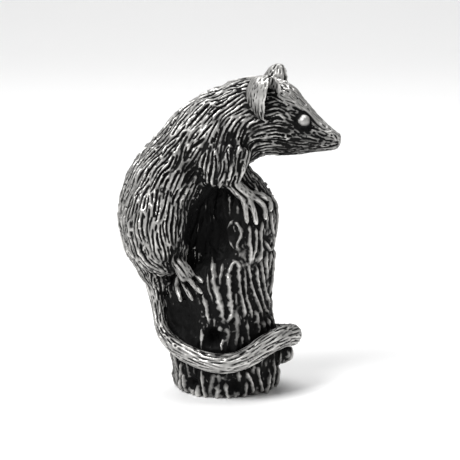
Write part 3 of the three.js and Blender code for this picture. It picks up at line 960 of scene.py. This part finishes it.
# Painted light on each eyeball: lighter towards this direction, up and out, and darker towards its rim, as shading.
EYE_PAINTED_LIGHT_FROM = {NEAR: (-0.1, -0.86, 0.5), FAR: (0.1, 0.87, 0.5)}
EYE_PAINTED_SHADE, EYE_PAINTED_HIGHLIGHT = 0.75, 0.32
EYE_AREA = 1.5

tendency_with_eye_light = soften(by_kind(TENDENCY)[:, None], 4)[:, 0]
above_edge = points[:, 2] - np.interp(points[:, 0], FOREHEAD_EDGE[:, 0], FOREHEAD_EDGE[:, 1])
forehead = np.clip(above_edge / FOREHEAD_SOFTNESS, 0, 1) * (kind == FACE)
for side, centre in EYES.items():
    away = points - centre
    distance = np.linalg.norm(away, axis=1)
    tendency_with_eye_light += EYE_RING * np.clip(EYE_RING_INNER - distance / EYE_RING_SIZE, 0, 1) * (kind == FACE)
    # Painted highlight on the upper front of each ball and painted shade towards its rim.
    towards_eye_light = np.sum(away * unit(np.array(EYE_PAINTED_LIGHT_FROM[side])), 1) / EYE_RADIUS
    this_eye = (kind == EYE) & (distance < EYE_RADIUS * EYE_AREA)
    tendency_with_eye_light += (EYE_PAINTED_SHADE * (1 - towards_eye_light) - EYE_PAINTED_HIGHLIGHT) * this_eye
print("tendency_with_eye_light", np.percentile(tendency_with_eye_light, [5, 50, 95]).round(2))

# %% Stain, with painted shade and highlights
# The forehead is made brighter: partly buffed metal, partly a painted highlight of the light from above.
FOREHEAD_BUFF_AND_HIGHLIGHT = 0.55
GROOVE_SHARE, GROOVE_ON_FOREHEAD, GROOVE_IN_BARK = 0.6, 0.6, -0.33
RECESS_SHARE, RECESS_IN_BARK = 0.8, 0.6
HOLLOW_SHARE = 0.4
BARK_DARKER, RIDGE_BUFFED = 0.17, 0.3
FULL_RIDGE = 0.5
bark = soften((kind == BARK).astype(float)[:, None], 3)[:, 0]
ridge = np.clip(raised / FULL_RIDGE, 0, 1)
in_grooves = (GROOVE_SHARE + GROOVE_ON_FOREHEAD * forehead + GROOVE_IN_BARK * bark) * groove
in_recesses = (RECESS_SHARE + RECESS_IN_BARK * bark) * recess
on_bark = bark * (BARK_DARKER - RIDGE_BUFFED * ridge)
# Stain from tone, grooves, recesses and hollows, plus painted shade in the darkened places and a painted highlight
# on the forehead.
stain_and_painted_light = tendency_with_eye_light + dull_and_shaded - FOREHEAD_BUFF_AND_HIGHLIGHT * forehead + in_grooves
stain_and_painted_light += in_recesses + HOLLOW_SHARE * hollow + on_bark
print("stain_and_painted_light", np.percentile(stain_and_painted_light, [5, 25, 50, 75, 95]).round(2))

# %% [markdown]
# ## The finished mesh
# The even grid is far finer than the smooth places need. Decimate folds away the faces that add least, and keeps
# them where the strokes are. The stain, with the painted shade and highlights added to it, travels with the points
# as an attribute, which the material reads.

# %% Thin the mesh out and bring it into metres
MOST_TRIANGLES = 190000
stain_and_light_layer = skin_mesh.attributes.new("stain_and_painted_light", "FLOAT", "POINT")
stain_and_light_layer.data.foreach_set("value", stain_and_painted_light.astype(np.float32))
skin_mesh.vertices.foreach_set("co", points.astype(np.float32).ravel())
skin_mesh.update()
thin = casting.modifiers.new("thin", "DECIMATE")
thin.ratio = MOST_TRIANGLES / (2 * len(skin_mesh.polygons))
finished = bpy.data.meshes.new_from_object(casting.evaluated_get(bpy.context.evaluated_depsgraph_get()))
casting.modifiers.clear()
casting.data = finished
finished.transform(Matrix.Scale(MM, 4))
finished.shade_smooth()
triangles = sum(len(face.vertices) - 2 for face in finished.polygons)
print("finished:", triangles, "triangles", [a.name for a in finished.attributes])

# %% [markdown]
# ## Shader maths
# Node trees are hard to read, so a small class lets sockets be added, subtracted and multiplied like numbers, and
# one method makes every other node.

# %% A wrapper for sockets
class Wire:
    """One output socket, with arithmetic that adds Math nodes."""

    def __init__(self, nodes, socket):
        self.nodes = nodes
        self.socket = socket

    def maths(self, operation, first, second):
        return self.nodes.make("ShaderNodeMath", {"operation": operation}, {0: first, 1: second})

    def __add__(self, other):
        return self.maths("ADD", self, other)

    def __sub__(self, other):
        return self.maths("SUBTRACT", self, other)

    def __rsub__(self, other):
        return self.maths("SUBTRACT", other, self)

    def __mul__(self, other):
        return self.maths("MULTIPLY", self, other)

    __radd__ = __add__
    __rmul__ = __mul__

    def clamped(self):
        return self.nodes.make("ShaderNodeClamp", {}, {0: self})


# %% Nodes of one material
class Nodes:
    """The node tree of one material."""

    def __init__(self, name):
        self.material = bpy.data.materials.new(name)
        self.material.use_nodes = True
        self.tree = self.material.node_tree
        self.tree.nodes.clear()

    def put(self, kind_of_node, settings, sockets):
        """Adds a node, sets it, and fills its sockets with values or links."""
        node = self.tree.nodes.new(kind_of_node)
        for key, value in settings.items():
            setattr(node, key, value)
        for key, value in sockets.items():
            if isinstance(value, Wire):
                self.tree.links.new(value.socket, node.inputs[key])
            else:
                node.inputs[key].default_value = value
        return node

    def make(self, kind_of_node, settings, sockets, output=0):
        """Adds a node and gives one of its outputs."""
        return Wire(self, self.put(kind_of_node, settings, sockets).outputs[output])


# %% [markdown]
# ## Pewter
# Buffed pewter is a slightly warm grey metal, and the stain is a black film that hides it. So one value, the stain
# kept at each point together with the painted shade and highlights added to it, turns the colour dark, the metal
# dull and the surface rougher. A cloudy noise breaks it up as hand buffing does. A second, finer noise is the grain
# of the casting: it changes the roughness and makes a faint bump, too small to be worth faces.

# %% Pewter
BUFFED = (0.66, 0.65, 0.63, 1)
# The black end stands for the stain and also for the painted shade that the same value carries.
STAINED_AND_SHADED = (0.006, 0.006, 0.006, 1)
CLOUD_SCALE, CLOUD_STRENGTH = 300.0, 1.2
GRAIN_SCALE, GRAIN_IN_ROUGHNESS = 3200.0, 0.16
GRAIN_BUMP, GRAIN_HEIGHT = 0.25, 0.00004
BUFFED_ROUGHNESS, STAIN_ROUGHER = 0.34, 0.3
METAL_HIDDEN = 0.75


def mix_colours(nodes, share, first, second):
    """Goes from the first colour to the second."""
    return nodes.make("ShaderNodeMix", {"data_type": "RGBA"}, {0: share, 6: first, 7: second}, output=2)


def noise_pattern(nodes, place, scale, detail):
    """Noise between 0 and 1, fixed to the piece."""
    sockets = {"Vector": place, "Scale": scale, "Detail": detail, "Roughness": 0.6}
    return nodes.make("ShaderNodeTexNoise", {}, sockets)


def pewter():
    """Buffed grey metal with black stain in its grooves, and the painted shade and highlights carried in the same
    value.
    """
    nodes = Nodes("antiqued_pewter")
    place = nodes.make("ShaderNodeTexCoord", {}, {}, output="Object")
    kept_stain_and_light = nodes.make("ShaderNodeAttribute", {"attribute_name": "stain_and_painted_light"}, {}, output="Fac")
    cloud = noise_pattern(nodes, place, CLOUD_SCALE, 5.0)
    grain = noise_pattern(nodes, place, GRAIN_SCALE, 3.0)
    stained_and_shaded = (kept_stain_and_light + (cloud - 0.5) * CLOUD_STRENGTH).clamped()
    bump = nodes.make("ShaderNodeBump", {}, {"Strength": GRAIN_BUMP, "Distance": GRAIN_HEIGHT, "Height": grain})
    shader = nodes.make("ShaderNodeBsdfPrincipled", {}, {
        "Base Color": mix_colours(nodes, stained_and_shaded, BUFFED, STAINED_AND_SHADED),
        "Metallic": 1.0 - stained_and_shaded * METAL_HIDDEN,
        "Roughness": BUFFED_ROUGHNESS + stained_and_shaded * STAIN_ROUGHER + (grain - 0.5) * GRAIN_IN_ROUGHNESS,
        "Normal": bump,
        "Specular IOR Level": 0.1,
    })
    nodes.put("ShaderNodeOutputMaterial", {}, {"Surface": shader})
    return nodes.material


finished.materials.clear()
finished.materials.append(pewter())
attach(casting, "root")
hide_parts("dormouse_on_stump")
print("pewter on", casting.name)

# %% [markdown]
# ## Studio
# The photograph is a cut-out on white, lit softly from the upper left. A pale floor that curves up into a wall has
# no edge to show, and the large lamps give the metal something bright to mirror. The dark gaps between the lamps
# keep its shading crisp.

# %% Floor
FLOOR_SIZE = 1.5
WALL_HEIGHT = 2.5
CURVE = 0.8
floor_shape = bmesh.new()
bmesh.ops.create_grid(floor_shape, x_segments=1, y_segments=1, size=FLOOR_SIZE)
back_edge = [edge for edge in floor_shape.edges if all(vert.co.y > 1 for vert in edge.verts)]
wall = bmesh.ops.extrude_edge_only(floor_shape, edges=back_edge)["geom"]
wall_top = [v for v in wall if isinstance(v, bmesh.types.BMVert)]
bmesh.ops.translate(floor_shape, verts=wall_top, vec=(0, 0, WALL_HEIGHT))
bmesh.ops.bevel(floor_shape, geom=back_edge, offset=CURVE, segments=16, profile=0.5, affect="EDGES", material=-1)
floor_mesh = bpy.data.meshes.new("studio_floor")
floor_shape.to_mesh(floor_mesh)
floor_mesh.shade_smooth()
floor_shape.free()
floor = bpy.data.objects.new("studio_floor", floor_mesh)
bpy.context.scene.collection.objects.link(floor)
paper = Nodes("pale_paper")
paper_shader = paper.make("ShaderNodeBsdfPrincipled", {}, {"Base Color": (0.9, 0.9, 0.9, 1), "Roughness": 0.9})
paper.put("ShaderNodeOutputMaterial", {}, {"Surface": paper_shader})
floor_mesh.materials.append(paper.material)
print("floor", len(floor_mesh.polygons), "faces")

# %% Lamps and sky
# Name, where it stands as seen from the figurine, distance and size in metres, power in watts.
LAMPS = [
    ("key", (-0.6, -0.5, 0.9), 0.6, 0.28, 3.6),
    ("fill", (0.95, -0.5, 0.3), 0.6, 0.25, 0.35),
    ("top", (0.0, 0.35, 1.0), 1.2, 1.0, 12.0),
]
LIT_MIDDLE = Vector((0, 0, 0.03))
SKY_STRENGTH = 0.25
for name, towards, distance, size, watts in LAMPS:
    data = bpy.data.lights.new(name, "AREA")
    data.size = size
    data.energy = watts
    lamp = bpy.data.objects.new(name, data)
    direction = Vector(towards).normalized()
    lamp.location = LIT_MIDDLE + direction * distance
    lamp.rotation_euler = direction.to_track_quat("Z", "Y").to_euler()
    bpy.context.scene.collection.objects.link(lamp)
world = bpy.data.worlds.new("studio")
world.use_nodes = True
background = world.node_tree.nodes["Background"]
background.inputs["Color"].default_value = (1, 1, 1, 1)
background.inputs["Strength"].default_value = SKY_STRENGTH
bpy.context.scene.world = world
bpy.context.scene.view_settings.view_transform = "Standard"
print("lamps", len(LAMPS), "sky", SKY_STRENGTH)
